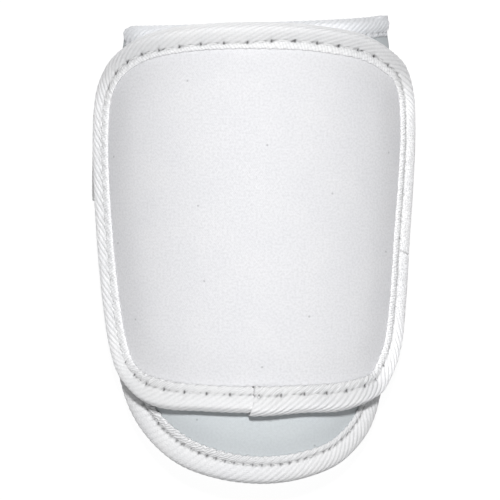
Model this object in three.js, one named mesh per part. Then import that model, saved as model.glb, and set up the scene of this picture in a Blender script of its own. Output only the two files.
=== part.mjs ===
// A baseball elbow guard: a stiff padded panel bound in folded tape, over a softer
// pad that curls round the arm, with a strap closed across the open side.
// It lies on the back of its strap and the pad's side edges, front up.
// +Z comes out of the front, +Y runs to the upper arm and +X is across the arm.
import * as THREE from 'three';

// Driving dimensions, in millimetres. Widths are those of the unrolled sheets.
const panelWidth = 151;
const panelLength = 154;
const panelThickness = 8.5;
const panelMarginThickness = 4.6;
const panelRadius = 74.75;
const panelTopY = 89.7;

const padWidth = 140;
const padLength = 183.5;
const padThickness = 6.6;
const padMarginThickness = 3.6;
const padTopY = 90.2;
const padTopCurl = 9.2;
const padTongueCurl = 1.7;
const padTopRise = 3;
const padTopHollow = 3.4;
const tongueDroop = 6;

const tapeWidth = 10.6;
const tapeWall = 1.2;
const topTapeWidth = 8.4;
const stitchInset = 7.3;
const marginRun = 10;
const tongueTapeTopY = -22;

const strapWidth = 38;
const strapThickness = 1.5;
const strapMiddleY = 44;
const strapSlope = 0.076;
const strapTuck = 24;
const strapShowLeft = 1.6;
const strapShowRight = 0.8;
const elasticEndX = 33;
const tabEndX = -6;
const tabRise = 9;
const hookLength = 30;
const hookWidth = 30;
const hookThickness = 1;

const seatGap = 0.3;
const layerGap = 0.5;

// How many stations and rings each form gets.
const panelStations = 64;
const topEdgeStations = 14;
const sideStations = 56;
const foldSteps = 7;

// Half reach of the panel to each side, a row for each section from the top down.
const panelSections = [
  { along: 0.997, left: 0.20, right: 0.21 },
  { along: 0.983, left: 0.40, right: 0.40 },
  { along: 0.950, left: 0.60, right: 0.63 },
  { along: 0.890, left: 0.75, right: 0.79 },
  { along: 0.815, left: 0.857, right: 0.912 },
  { along: 0.680, left: 0.950, right: 0.988 },
  { along: 0.470, left: 0.986, right: 1.010 },
  { along: 0.200, left: 0.980, right: 0.992 },
  { along: -0.100, left: 0.950, right: 0.956 },
  { along: -0.450, left: 0.896, right: 0.920 },
  { along: -0.680, left: 0.840, right: 0.878 },
  { along: -0.820, left: 0.775, right: 0.810 },
  { along: -0.920, left: 0.658, right: 0.725 },
  { along: -0.975, left: 0.450, right: 0.530 },
  { along: -0.995, left: 0.200, right: 0.240 },
];

// Half reach of the pad to each side, from its top corners down to the tongue.
const padSections = [
  { along: 1.000, left: 0.865, right: 0.945 },
  { along: 0.900, left: 0.900, right: 0.970 },
  { along: 0.600, left: 0.960, right: 0.982 },
  { along: 0.250, left: 0.985, right: 0.985 },
  { along: 0.060, left: 1.015, right: 1.015 },
  { along: -0.120, left: 1.020, right: 1.020 },
  { along: -0.300, left: 1.010, right: 1.010 },
  { along: -0.440, left: 0.940, right: 0.932 },
  { along: -0.560, left: 0.862, right: 0.850 },
  { along: -0.640, left: 0.810, right: 0.816 },
  { along: -0.715, left: 0.745, right: 0.778 },
  { along: -0.785, left: 0.662, right: 0.722 },
  { along: -0.860, left: 0.545, right: 0.625 },
  { along: -0.925, left: 0.400, right: 0.500 },
  { along: -0.978, left: 0.190, right: 0.295 },
  { along: -0.998, left: 0.020, right: 0.125 },
];

// How far down the pad the tighter curl of its top opens to that of the tongue.
const padOpening = { from: -0.2, to: -0.62 };

// Where the tongue starts to bend down, as a share of the pad's half length.
const tongueBendStart = -0.6;

// Rings of the padded sheets: share of the way from the middle to the edge.
const rings = [0.14, 0.28, 0.42, 0.55, 0.67, 0.77, 0.85, 0.91, 0.955];
const edgeRoundRun = 1.8;
const edgeRoundShare = 0.4;

const panelMiddleY = panelTopY - panelLength / 2;
const padMiddleY = padTopY - padLength / 2;
const tapeInset = tapeWall + seatGap + 0.1;
const panelUndersideRadius = panelRadius - panelThickness / 2;
const padTopRadius = panelUndersideRadius - padThickness / 2 - padTopCurl;
const padTongueRadius = panelUndersideRadius - padThickness / 2 - padTongueCurl;
const padCrown = -(panelThickness / 2 + layerGap + padThickness / 2);

const { clamp, lerp, smoothstep } = THREE.MathUtils;

// Middle surfaces of the two sheets. The panel's crown line is at height 0.
function panelSurface(across, y) {
  const angle = across / panelRadius;
  return new THREE.Vector3(
    panelRadius * Math.sin(angle),
    y,
    panelRadius * (Math.cos(angle) - 1),
  );
}

function padSurface(across, y) {
  const along = (y - padMiddleY) / (padLength / 2);
  const open = smoothstep(-along, -padOpening.from, -padOpening.to);
  const radius = lerp(padTopRadius, padTongueRadius, open);
  const bend = clamp((tongueBendStart - along) / (tongueBendStart + 1), 0, 2);
  const angle = across / radius;
  return new THREE.Vector3(
    radius * Math.sin(angle),
    y,
    padCrown - tongueDroop * bend ** 1.5 + radius * (Math.cos(angle) - 1),
  );
}

function surfaceNormal(surface, across, y) {
  const step = 0.05;
  const overAcross = surface(across + step, y).sub(surface(across - step, y));
  const overY = surface(across, y + step).sub(surface(across, y - step));
  return overAcross.cross(overY).normalize();
}

function lift(surface, across, y, height) {
  const normal = surfaceNormal(surface, across, y);
  return surface(across, y).addScaledVector(normal, height);
}

// An outline is a list of stations in the unrolled plane, clockwise from the top.
function sidePoints(sections, width, length, middleY) {
  const point = (row, reach) => new THREE.Vector2(
    reach * width / 2,
    middleY + row.along * length / 2,
  );
  const right = sections.map((row) => point(row, row.right));
  const left = sections.map((row) => point(row, -row.left)).reverse();
  return [...right, ...left];
}

function smoothCurve(points, closed) {
  const spatial = points.map((p) => new THREE.Vector3(p.x, p.y, 0));
  return new THREE.CatmullRomCurve3(spatial, closed, 'centripetal');
}

function evenStations(curve, count, closed) {
  curve.arcLengthDivisions = 1200;
  const points = curve.getSpacedPoints(count);
  return closed ? points.slice(0, -1) : points;
}

function withInwardNormals(points, closed) {
  const last = points.length - 1;
  return points.map((point, index) => {
    const before = points[index === 0 ? (closed ? last : 0) : index - 1];
    const after = points[index === last ? (closed ? 0 : last) : index + 1];
    const run = new THREE.Vector2(after.x - before.x, after.y - before.y).normalize();
    return { x: point.x, y: point.y, inward: new THREE.Vector2(run.y, -run.x) };
  });
}

function panelOutline() {
  const points = sidePoints(panelSections, panelWidth, panelLength, panelMiddleY);
  return withInwardNormals(evenStations(smoothCurve(points, true), panelStations, true), true);
}

// The pad's top edge leans and its corners stand a little higher than its middle.
function topEdgeLift(across) {
  const share = across / (padWidth / 2);
  return padTopRise * share + padTopHollow * share ** 2;
}

function leanTop(point) {
  const fade = smoothstep(point.y, padMiddleY, padTopY);
  point.y += fade * topEdgeLift(point.x);
  return point;
}

function padSidePoints() {
  const points = sidePoints(padSections, padWidth, padLength, padMiddleY).map(leanTop);
  return evenStations(smoothCurve(points, false), sideStations, false);
}

function padTopPoints() {
  const left = -padSections[0].left * padWidth / 2;
  const right = padSections[0].right * padWidth / 2;
  const points = [];
  for (let index = 0; index <= topEdgeStations; index += 1) {
    points.push(leanTop({ x: lerp(left, right, index / topEdgeStations), y: padTopY }));
  }
  return points;
}

// Tapes: the stretch of the pad's outline that each one covers.
function tongueStations() {
  const covered = withInwardNormals(padSidePoints(), false);
  return covered.filter((station) => station.y < tongueTapeTopY);
}

function topStations() {
  return withInwardNormals(padTopPoints(), false);
}

function distanceTo(stations, x, y) {
  let nearest = Infinity;
  for (let index = 1; index < stations.length; index += 1) {
    const start = stations[index - 1];
    const run = { x: stations[index].x - start.x, y: stations[index].y - start.y };
    const share = ((x - start.x) * run.x + (y - start.y) * run.y) / (run.x ** 2 + run.y ** 2);
    const held = clamp(share, 0, 1);
    const gap = Math.hypot(x - start.x - held * run.x, y - start.y - held * run.y);
    nearest = Math.min(nearest, gap);
  }
  return nearest;
}

// Half thickness away from the bound edges, full past the tape and its ease.
function halfThickness(bound, full, margin, x, y) {
  const nearest = Math.min(...bound.map((stations) => distanceTo(stations, x, y)));
  const flat = tapeWidth + 1;
  return lerp(margin, full, smoothstep(nearest, flat, flat + marginRun)) / 2;
}

// Solids from grids of points.
function closedGeometry(points, triangles) {
  const geometry = new THREE.BufferGeometry().setFromPoints(points);
  geometry.setIndex(triangles);
  geometry.computeVertexNormals();
  return geometry;
}

// A padded sheet: rings round a middle point, on its front and on its back.
function paddedSheet(surface, outline, middleY, thicknessAt) {
  const count = outline.length;
  const edge = outline.map(({ x, y, inward }) => new THREE.Vector2(x, y)
    .addScaledVector(inward, tapeInset));
  const beside = outline.map(({ x, y, inward }) => new THREE.Vector2(x, y)
    .addScaledVector(inward, tapeInset + edgeRoundRun));
  const middle = new THREE.Vector2(0, middleY);
  const layers = rings.map((share) => ({
    points: beside.map((point) => middle.clone().lerp(point, share)),
    fullness: 1,
  }));
  layers.push({ points: beside, fullness: 1 });
  layers.push({ points: edge, fullness: edgeRoundShare });
  const points = [];
  const triangles = [];
  for (const side of [1, -1]) {
    const start = points.length;
    const place = (point, fullness) => points.push(
      lift(surface, point.x, point.y, side * fullness * thicknessAt(point.x, point.y)),
    );
    const face = (a, b, c) => triangles.push(...(side > 0 ? [a, b, c] : [a, c, b]));
    place(middle, 1);
    layers.forEach((layer) => layer.points.forEach((point) => place(point, layer.fullness)));
    for (let index = 0; index < count; index += 1) {
      const next = (index + 1) % count;
      face(start, start + 1 + next, start + 1 + index);
      for (let ring = 1; ring < layers.length; ring += 1) {
        const inner = start + 1 + (ring - 1) * count;
        const outer = start + 1 + ring * count;
        face(inner + index, inner + next, outer + next);
        face(inner + index, outer + next, outer + index);
      }
    }
  }
  const frontRim = points.length / 2 - count;
  const backRim = points.length - count;
  for (let index = 0; index < count; index += 1) {
    const next = (index + 1) % count;
    triangles.push(frontRim + index, frontRim + next, backRim + next);
    triangles.push(frontRim + index, backRim + next, backRim + index);
  }
  return closedGeometry(points, triangles);
}

// A solid swept through sections, each a ring of points in the same order.
function sweptSolid(sections, closed, capOutline) {
  const size = sections[0].length;
  const points = sections.flat();
  const triangles = [];
  const steps = closed ? sections.length : sections.length - 1;
  for (let step = 0; step < steps; step += 1) {
    const here = step * size;
    const ahead = ((step + 1) % sections.length) * size;
    for (let corner = 0; corner < size; corner += 1) {
      const next = (corner + 1) % size;
      triangles.push(here + corner, ahead + corner, ahead + next);
      triangles.push(here + corner, ahead + next, here + next);
    }
  }
  if (!closed) {
    const end = (sections.length - 1) * size;
    for (const [a, b, c] of THREE.ShapeUtils.triangulateShape(capOutline, [])) {
      triangles.push(a, b, c);
      triangles.push(end + a, end + c, end + b);
    }
  }
  return closedGeometry(points, triangles);
}

// The folded tape's section: x runs inward from the finished edge, y off the sheet.
function tapeSection(width, margin) {
  const inner = margin / 2 + seatGap;
  const outer = inner + tapeWall;
  const groove = Math.min(stitchInset, width - 1.5);
  return [
    new THREE.Vector2(width, inner + 0.75 * tapeWall),
    new THREE.Vector2(groove, inner + 0.6 * tapeWall),
    new THREE.Vector2(0.55 * groove, outer + 0.2),
    new THREE.Vector2(1.6, outer - 0.3),
    new THREE.Vector2(0.2, 0.45 * outer),
    new THREE.Vector2(0.2, -0.45 * outer),
    new THREE.Vector2(1.6, -outer + 0.3),
    new THREE.Vector2(width, -outer),
    new THREE.Vector2(width, -inner),
    new THREE.Vector2(tapeWall + 0.6, -inner),
    new THREE.Vector2(tapeWall, -0.35 * outer),
    new THREE.Vector2(tapeWall, 0.35 * outer),
    new THREE.Vector2(tapeWall + 0.6, inner),
    new THREE.Vector2(width, inner),
  ];
}

function foldedTape(surface, stations, width, margin, closed) {
  const section = tapeSection(width, margin);
  const sections = stations.map(({ x, y, inward }) => section.map((point) => lift(
    surface,
    x + inward.x * point.x,
    y + inward.y * point.x,
    point.y,
  )));
  return sweptSolid(sections, closed, section);
}

function lowestPoint(geometries) {
  const heights = geometries.map((geometry) => {
    geometry.computeBoundingBox();
    return geometry.boundingBox.min.z;
  });
  return Math.min(...heights);
}

// The panel's finished edge at one height, as a distance across the sheet.
function panelReach(outline, side, y) {
  let reach = 0;
  outline.forEach((station, index) => {
    const next = outline[(index + 1) % outline.length];
    const spans = (station.y - y) * (next.y - y) <= 0 && station.y !== next.y;
    if (spans) {
      const share = (y - station.y) / (next.y - station.y);
      reach = Math.max(reach, side * lerp(station.x, next.x, share));
    }
  });
  return reach;
}

// One side of the strap: tucked under the panel's edge, folded back under it and
// flat on the table as far as the given place. Points are (x, z) in one section.
function strapSide(outline, side, y, show, floor) {
  const reach = panelReach(outline, side, y);
  const half = strapThickness / 2;
  const under = -(panelThickness / 2 + seatGap + half);
  const insets = [strapTuck, 0.6 * strapTuck, 0.8 * tapeWidth, 0.3 * tapeWidth];
  const points = insets.map((inset) => {
    const point = lift(panelSurface, reach - inset, y, under);
    return new THREE.Vector2(point.x, point.z);
  });
  const tapeHalf = panelMarginThickness / 2 + seatGap + tapeWall;
  const tapeOuter = lift(panelSurface, reach - tapeHalf / 2, y, tapeHalf).x;
  const tapeFoot = lift(panelSurface, reach, y, -tapeHalf / 2).z;
  const foldTop = tapeFoot - 2 * seatGap - strapThickness;
  const foldRadius = (foldTop - floor - half) / 2;
  const foldX = tapeOuter + show - half - foldRadius;
  for (let step = 0; step <= foldSteps; step += 1) {
    const angle = Math.PI / 2 - Math.PI * step / foldSteps;
    points.push(new THREE.Vector2(
      foldX + foldRadius * Math.cos(angle),
      floor + half + foldRadius * (1 + Math.sin(angle)),
    ));
  }
  return points.map((point) => new THREE.Vector2(side * point.x, point.y));
}

function strapCentreY(x) {
  return strapMiddleY + strapSlope * x;
}

// A flat strap through routes at its two edges and its middle line.
function ribbon(routeAt) {
  const lanes = [0.5, 0, -0.5].map((share) => {
    const y = (x) => strapCentreY(x) + share * strapWidth;
    const route = routeAt(y);
    return route.map((point, index) => {
      const before = route[Math.max(index - 1, 0)];
      const after = route[Math.min(index + 1, route.length - 1)];
      const run = after.clone().sub(before).normalize();
      const off = new THREE.Vector2(-run.y, run.x).multiplyScalar(strapThickness / 2);
      const place = (sign) => new THREE.Vector3(
        point.x + sign * off.x,
        y(point.x),
        point.y + sign * off.y,
      );
      return { top: place(1), bottom: place(-1) };
    });
  });
  const sections = lanes[0].map((_, index) => [
    ...lanes.map((lane) => lane[index].bottom),
    ...lanes.map((lane) => lane[index].top).reverse(),
  ]);
  const cap = [[0, 0], [1, -0.1], [2, 0], [2, 1], [1, 1.1], [0, 1]];
  return sweptSolid(sections, false, cap.map(([x, y]) => new THREE.Vector2(x, y)));
}

function elasticStrap(outline, floor) {
  return ribbon((y) => {
    const edgeX = -panelWidth / 2;
    const route = strapSide(outline, -1, y(edgeX), strapShowLeft, floor);
    route.push(new THREE.Vector2(elasticEndX, floor + strapThickness / 2));
    return route;
  });
}

function tabStrap(outline, floor) {
  const raised = floor + strapThickness * 1.5 + hookThickness + 2 * seatGap;
  return ribbon((y) => {
    const edgeX = panelWidth / 2;
    const route = strapSide(outline, 1, y(edgeX), strapShowRight, floor);
    route.push(new THREE.Vector2(elasticEndX + tabRise + 5, floor + strapThickness / 2));
    route.push(new THREE.Vector2(elasticEndX + 5, raised));
    route.push(new THREE.Vector2(tabEndX, raised));
    return route;
  });
}

function hookPatch(floor) {
  const geometry = new THREE.BoxGeometry(hookLength, hookWidth, hookThickness);
  const x = (elasticEndX + tabEndX) / 2;
  const z = floor + strapThickness + seatGap + hookThickness / 2;
  geometry.rotateZ(Math.atan(strapSlope));
  geometry.translate(x, strapCentreY(x), z);
  return geometry;
}

function cloth(color, roughness) {
  return new THREE.MeshStandardMaterial({ color, roughness, metalness: 0 });
}

function named(name, geometry, material) {
  const mesh = new THREE.Mesh(geometry, material);
  mesh.name = name;
  return mesh;
}

function buildGuard() {
  const outline = panelOutline();
  const padOutline = withInwardNormals([...padTopPoints().slice(0, -1), ...padSidePoints().slice(0, -1)], true);
  const topEdge = topStations();
  const tongueEdge = tongueStations();
  const panelLoop = [...outline, outline[0]];
  const panelHalf = (x, y) => halfThickness(
    [panelLoop], panelThickness, panelMarginThickness, x, y,
  );
  const padHalf = (x, y) => halfThickness(
    [topEdge, tongueEdge], padThickness, padMarginThickness, x, y,
  );
  const pad = paddedSheet(padSurface, padOutline, padMiddleY, padHalf);
  const tongueTape = foldedTape(padSurface, tongueEdge, tapeWidth, padMarginThickness, false);
  const floor = lowestPoint([pad, tongueTape]);

  const fabric = cloth(0xeeeff2, 0.95);
  const liner = cloth(0xd8dcdf, 0.95);
  const tape = cloth(0xf6f6f6, 0.9);
  const webbing = cloth(0xe9e9e9, 0.9);
  const group = new THREE.Group();
  group.add(
    named('outer_panel', paddedSheet(panelSurface, outline, panelMiddleY, panelHalf), fabric),
    named('outer_binding',
      foldedTape(panelSurface, outline, tapeWidth, panelMarginThickness, true), tape),
    named('inner_pad', pad, liner),
    named('pad_top_binding',
      foldedTape(padSurface, topEdge, topTapeWidth, padMarginThickness, false), tape),
    named('pad_tongue_binding', tongueTape, tape),
    named('strap_elastic', elasticStrap(outline, floor), webbing),
    named('strap_tab', tabStrap(outline, floor), webbing),
    named('strap_hook', hookPatch(floor), webbing),
  );
  return group;
}

// The origin is under the middle of the whole guard, on the table.
const guard = buildGuard();
const box = new THREE.Box3().setFromObject(guard);
const middle = box.getCenter(new THREE.Vector3());
guard.position.set(-middle.x, -middle.y, -box.min.z);
guard.updateMatrixWorld(true);

export default guard;
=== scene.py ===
import math

import bmesh
import bpy
import numpy as np
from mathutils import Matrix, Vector


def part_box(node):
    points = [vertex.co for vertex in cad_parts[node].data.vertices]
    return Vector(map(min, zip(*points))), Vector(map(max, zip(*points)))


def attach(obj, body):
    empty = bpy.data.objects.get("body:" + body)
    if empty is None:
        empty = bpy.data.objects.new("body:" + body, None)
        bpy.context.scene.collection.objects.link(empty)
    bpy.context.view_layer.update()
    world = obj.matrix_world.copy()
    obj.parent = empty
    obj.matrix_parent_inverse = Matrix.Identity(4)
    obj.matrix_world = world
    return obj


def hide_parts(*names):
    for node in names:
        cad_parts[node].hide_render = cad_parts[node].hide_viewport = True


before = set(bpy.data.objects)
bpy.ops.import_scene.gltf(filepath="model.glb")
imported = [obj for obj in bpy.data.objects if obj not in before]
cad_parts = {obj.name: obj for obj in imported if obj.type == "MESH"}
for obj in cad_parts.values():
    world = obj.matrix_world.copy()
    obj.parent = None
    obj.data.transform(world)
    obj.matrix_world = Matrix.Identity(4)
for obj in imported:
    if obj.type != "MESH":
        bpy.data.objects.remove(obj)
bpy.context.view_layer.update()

# Sizes of the solids, in metres, as their source names them.
PANEL_WIDTH = 0.151
PANEL_LENGTH = 0.154
PANEL_THICKNESS = 0.0085
PANEL_MARGIN = 0.0046
PANEL_RADIUS = 0.07475
PANEL_TOP_Y = 0.0897
PAD_WIDTH = 0.140
PAD_LENGTH = 0.1835
PAD_THICKNESS = 0.0066
PAD_MARGIN = 0.0036
PAD_TOP_Y = 0.0902
PAD_TOP_CURL = 0.0092
PAD_TONGUE_CURL = 0.0017
TONGUE_DROOP = 0.006
TAPE_WIDTH = 0.0106
TAPE_WALL = 0.0012
TOP_TAPE_WIDTH = 0.0084
STITCH_INSET = 0.0073
TONGUE_TAPE_TOP_Y = -0.022
STRAP_WIDTH = 0.038
STRAP_THICKNESS = 0.0015
STRAP_MIDDLE_Y = 0.044
STRAP_SLOPE = 0.076
STRAP_TUCK = 0.024
STRAP_FOLD_LEFT = 0.0656
STRAP_FOLD_RIGHT = 0.0653
ELASTIC_END_X = 0.033
TAB_END_X = -0.006
TAB_RISE = 0.009
HOOK_LENGTH = 0.030
HOOK_WIDTH = 0.030
HOOK_THICKNESS = 0.001
SEAT_GAP = 0.0003
LAYER_GAP = 0.0005

# The pad's top edge slopes and hollows a little differently from its solid's.
PAD_TOP_RISE = 0.0023
PAD_TOP_HOLLOW = 0.00415

# How finely each form is built.
TAPE_STEP = 0.00034
TAPE_FRONT_POINTS = 40
TAPE_BACK_POINTS = 10
THREAD_RINGS = 9
THREAD_SIDES = 6
FOLD_STEPS = 7
RIBBON_LANES = 61
ELASTIC_STATIONS = 520
TAB_STATIONS = 460
HOOK_STEPS = 40
PANEL_GRID = (50, 50)
PAD_GRID = (60, 46)
SUBDIVISIONS = 2

# Covers: for how long they swell, how far a point may move, how much thinner they start,
# how far in from the cut their edges lie, and how near the pad's rim nothing swells.
SWELL_FRAMES = 20
SWELL_CAP = 0.0007
COVER_PUFF = 0.0006
EDGE_INSET = 0.0019
PAD_FREE_INSET = 0.0007
RIM_HOLD = 0.005

# Where the panel's tape starts and ends, and how far apart the stitches are.
LAP_START_X = 0.0045
LAP_END_X = -0.0005
PANEL_STITCH = 0.0092
PAD_STITCH = 0.004

# What is worked into a tape: reaches along its face, and depths.
STRIP_EDGE = 0.0006
GROOVE_HALF = 0.0008
GROOVE_CALM = 0.0011
BEAD_HEIGHT = 0.00018
FILL_HEIGHT = 0.0006
CREASE_DEPTH = 0.00045
HOLE_DEPTH = 0.00035
HOLE_REACH = 0.004
THREAD_RISE = 0.0002
THREAD_DIP = 0.0009

# Lengths in the UV maps are in millimetres.
UV_SCALE = 1000

# No tape or strap lies lower than the gap, and the table reaches 3 m each way.
TABLE_GAP = 0.0001
TABLE_HALF = 3

# The camera stands straight over the guard. Its focus is in pixels of the photograph.
CAMERA_PLACE = (-0.0013, -0.0012, 1.1)
SENSOR_WIDTH = 36
PHOTO_SIZE = 500
PHOTO_FOCUS = 2675

# A small light high past the guard's top and a broad one high past its tongue.
LIGHTS = (
    {"name": "overhead", "size": 0.075, "power": 6.3, "place": (0.005, 0.155, 0.76), "aim_y": 0},
    {"name": "fill", "size": 0.5, "power": 2.9, "place": (0.02, -0.6, 0.9), "aim_y": -0.05},
)
WORLD_COLOUR = (0.97, 0.985, 1.0, 1)
WORLD_STRENGTH = 0.03

# Sections of the two outlines: along the guard, reach to the left, to the right.
PANEL_SECTIONS = np.array([
    (0.997, 0.20, 0.21),
    (0.983, 0.40, 0.40),
    (0.950, 0.60, 0.63),
    (0.890, 0.75, 0.79),
    (0.815, 0.857, 0.912),
    (0.680, 0.950, 0.988),
    (0.470, 0.986, 1.010),
    (0.200, 0.980, 0.992),
    (-0.100, 0.950, 0.956),
    (-0.450, 0.896, 0.920),
    (-0.680, 0.840, 0.878),
    (-0.820, 0.775, 0.810),
    (-0.920, 0.658, 0.725),
    (-0.975, 0.450, 0.530),
    (-0.995, 0.200, 0.240),
])
PAD_SECTIONS = np.array([
    (1.000, 0.865, 0.945),
    (0.900, 0.900, 0.970),
    (0.600, 0.960, 0.982),
    (0.250, 0.985, 0.985),
    (0.060, 1.015, 1.015),
    (-0.120, 1.020, 1.020),
    (-0.300, 1.010, 1.010),
    (-0.440, 0.940, 0.932),
    (-0.560, 0.862, 0.850),
    (-0.640, 0.810, 0.816),
    (-0.715, 0.745, 0.778),
    (-0.785, 0.662, 0.722),
    (-0.860, 0.545, 0.625),
    (-0.925, 0.400, 0.500),
    (-0.978, 0.190, 0.295),
    (-0.998, 0.020, 0.125),
])
PAD_OPENING = (-0.2, -0.62)
TONGUE_BEND_START = -0.6

PANEL_MIDDLE_Y = PANEL_TOP_Y - PANEL_LENGTH / 2
PAD_MIDDLE_Y = PAD_TOP_Y - PAD_LENGTH / 2
PANEL_UNDERSIDE_RADIUS = PANEL_RADIUS - PANEL_THICKNESS / 2
PAD_TOP_RADIUS = PANEL_UNDERSIDE_RADIUS - PAD_THICKNESS / 2 - PAD_TOP_CURL
PAD_TONGUE_RADIUS = PANEL_UNDERSIDE_RADIUS - PAD_THICKNESS / 2 - PAD_TONGUE_CURL
PAD_CROWN = -(PANEL_THICKNESS / 2 + LAYER_GAP + PAD_THICKNESS / 2)


def strap_centre_y(x):
    """How far up the guard the middle of the strap lies."""
    return STRAP_MIDDLE_Y + STRAP_SLOPE * x


def part_place():
    """Where the drawn origin of the sheets lies in the row's frame."""
    low, high = (np.array(corner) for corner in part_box("strap_hook"))
    drawn_x = (ELASTIC_END_X + TAB_END_X) / 2
    middle = (low + high) / 2
    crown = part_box("outer_panel")[1][2] - PANEL_THICKNESS / 2
    return np.array([middle[0] - drawn_x, middle[1] - strap_centre_y(drawn_x), crown])


PLACE = part_place()
FLOOR = -PLACE[2]


# Small helpers

def smoothstep(value, low, high):
    """0 below the low value and 1 above the high one, smooth between."""
    share = np.clip((value - low) / (high - low), 0, 1)
    return share * share * (3 - 2 * share)


def unit(vectors):
    """The same directions, one long."""
    return vectors / np.linalg.norm(vectors, axis=-1, keepdims=True)


def bump_at(value, centre, reach):
    """1 at the centre, falling smoothly to 0 at the reach on both sides."""
    return 1 - smoothstep(np.abs(value - centre), 0, reach)


def slow_noise(value, seed, scale):
    """A repeatable wander between about -1 and 1."""
    rng = np.random.default_rng(seed)
    total = np.zeros_like(value)
    for octave in range(1, 6):
        phase = rng.uniform(0, 2 * math.pi)
        pace = rng.uniform(0.7, 1.3) * octave
        total = total + np.sin(pace * value / scale + phase) / octave
    return total / 2.2


# The middle surfaces of the two arched sheets

def panel_surface(across, y):
    """Places on the panel's arch, from the distance across its unrolled sheet."""
    angle = across / PANEL_RADIUS
    height = PANEL_RADIUS * (np.cos(angle) - 1)
    return np.stack([PANEL_RADIUS * np.sin(angle), y + 0 * across, height], axis=-1)


def pad_surface(across, y):
    """The same for the pad, whose curl opens towards its drooping tongue."""
    along = (y - PAD_MIDDLE_Y) / (PAD_LENGTH / 2)
    opened = smoothstep(-along, -PAD_OPENING[0], -PAD_OPENING[1])
    radius = PAD_TOP_RADIUS + (PAD_TONGUE_RADIUS - PAD_TOP_RADIUS) * opened
    bend = np.clip((TONGUE_BEND_START - along) / (TONGUE_BEND_START + 1), 0, 2)
    angle = across / radius
    height = PAD_CROWN - TONGUE_DROOP * bend ** 1.5 + radius * (np.cos(angle) - 1)
    return np.stack([radius * np.sin(angle), y + 0 * across, height], axis=-1)


def surface_normal(surface, across, y):
    step = 0.00005
    over_across = surface(across + step, y) - surface(across - step, y)
    over_y = surface(across, y + step) - surface(across, y - step)
    return unit(np.cross(over_across, over_y))


def lift(surface, across, y, height):
    """Points at a height off a sheet, in the row's frame."""
    normal = surface_normal(surface, across, y)
    return surface(across, y) + normal * np.asarray(height)[..., None] + PLACE


# Outlines, as lines of close points in the unrolled plane

def smooth_curve(points, closed, samples=40):
    """A centripetal spline through the points."""
    if closed:
        padded = np.vstack([points[-1:], points, points[:2]])
    else:
        beyond = 2 * points[[0, -1]] - points[[1, -2]]
        padded = np.vstack([beyond[:1], points, beyond[1:]])
    share = np.linspace(0, 1, samples, endpoint=False)[:, None]
    pieces = []
    for near in zip(padded, padded[1:], padded[2:], padded[3:]):
        gaps = [math.sqrt(np.linalg.norm(near[k + 1] - near[k])) for k in range(3)]
        start = (near[1] - near[0]) / gaps[0] - (near[2] - near[0]) / (gaps[0] + gaps[1])
        start = (start + (near[2] - near[1]) / gaps[1]) * gaps[1]
        end = (near[2] - near[1]) / gaps[1] - (near[3] - near[1]) / (gaps[1] + gaps[2])
        end = (end + (near[3] - near[2]) / gaps[2]) * gaps[1]
        drop = near[1] - near[2]
        cubic = (2 * drop + start + end) * share ** 3
        square = (-3 * drop - 2 * start - end) * share ** 2
        pieces.append(cubic + square + start * share + near[1])
    return np.vstack(pieces + [points[:1] if closed else points[-1:]])


def side_points(sections, width, length, middle_y):
    """The outline's points, down the right side and up the left one."""
    y = middle_y + sections[:, 0] * length / 2
    right = np.stack([sections[:, 2] * width / 2, y], axis=1)
    left = np.stack([-sections[:, 1] * width / 2, y], axis=1)[::-1]
    return np.vstack([right, left])


def run_lengths(points):
    steps = np.linalg.norm(np.diff(points, axis=0), axis=1)
    return np.concatenate([[0], np.cumsum(steps)])


def read_along(at, runs, pairs):
    """Pairs of values along a line, read at distances from its start."""
    return np.stack([np.interp(at, runs, pairs[:, k]) for k in (0, 1)], axis=1)


def evenly(points, count):
    """The same line with evenly spaced points."""
    runs = run_lengths(points)
    return read_along(np.linspace(0, runs[-1], count), runs, points)


def inward_normals(points, closed):
    """Directions into the sheet, square to an outline that runs clockwise."""
    if closed:
        ahead = np.roll(points, -1, axis=0) - np.roll(points, 1, axis=0)
    else:
        ahead = np.gradient(points, axis=0)
    ahead = unit(ahead)
    return np.stack([ahead[:, 1], -ahead[:, 0]], axis=1)


def lean_top(points):
    """Slopes and hollows the pad's top edge."""
    share = points[:, 0] / (PAD_WIDTH / 2)
    fade = smoothstep(points[:, 1], PAD_MIDDLE_Y, PAD_TOP_Y)
    leant = points.copy()
    leant[:, 1] += fade * (PAD_TOP_RISE * share + PAD_TOP_HOLLOW * share ** 2)
    return leant


def panel_line():
    sides = side_points(PANEL_SECTIONS, PANEL_WIDTH, PANEL_LENGTH, PANEL_MIDDLE_Y)
    return smooth_curve(sides, closed=True)


def pad_side_line():
    sides = lean_top(side_points(PAD_SECTIONS, PAD_WIDTH, PAD_LENGTH, PAD_MIDDLE_Y))
    return smooth_curve(sides, closed=False)


def pad_top_line():
    left = -PAD_SECTIONS[0, 1] * PAD_WIDTH / 2
    right = PAD_SECTIONS[0, 2] * PAD_WIDTH / 2
    across = np.linspace(left, right, 80)
    return lean_top(np.stack([across, np.full_like(across, PAD_TOP_Y)], axis=1))


def tongue_line():
    side = pad_side_line()
    return side[side[:, 1] < TONGUE_TAPE_TOP_Y]


def distance_to(line, points):
    """How far each point is from a line of short straight pieces."""
    nearest = np.full(len(points), np.inf)
    for start, end in zip(line[:-1], line[1:]):
        run = end - start
        share = np.clip((points - start) @ run / max(run @ run, 1e-18), 0, 1)
        gap = np.linalg.norm(points - start - share[:, None] * run, axis=1)
        nearest = np.minimum(nearest, gap)
    return nearest


# Meshes from grids of points

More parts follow.
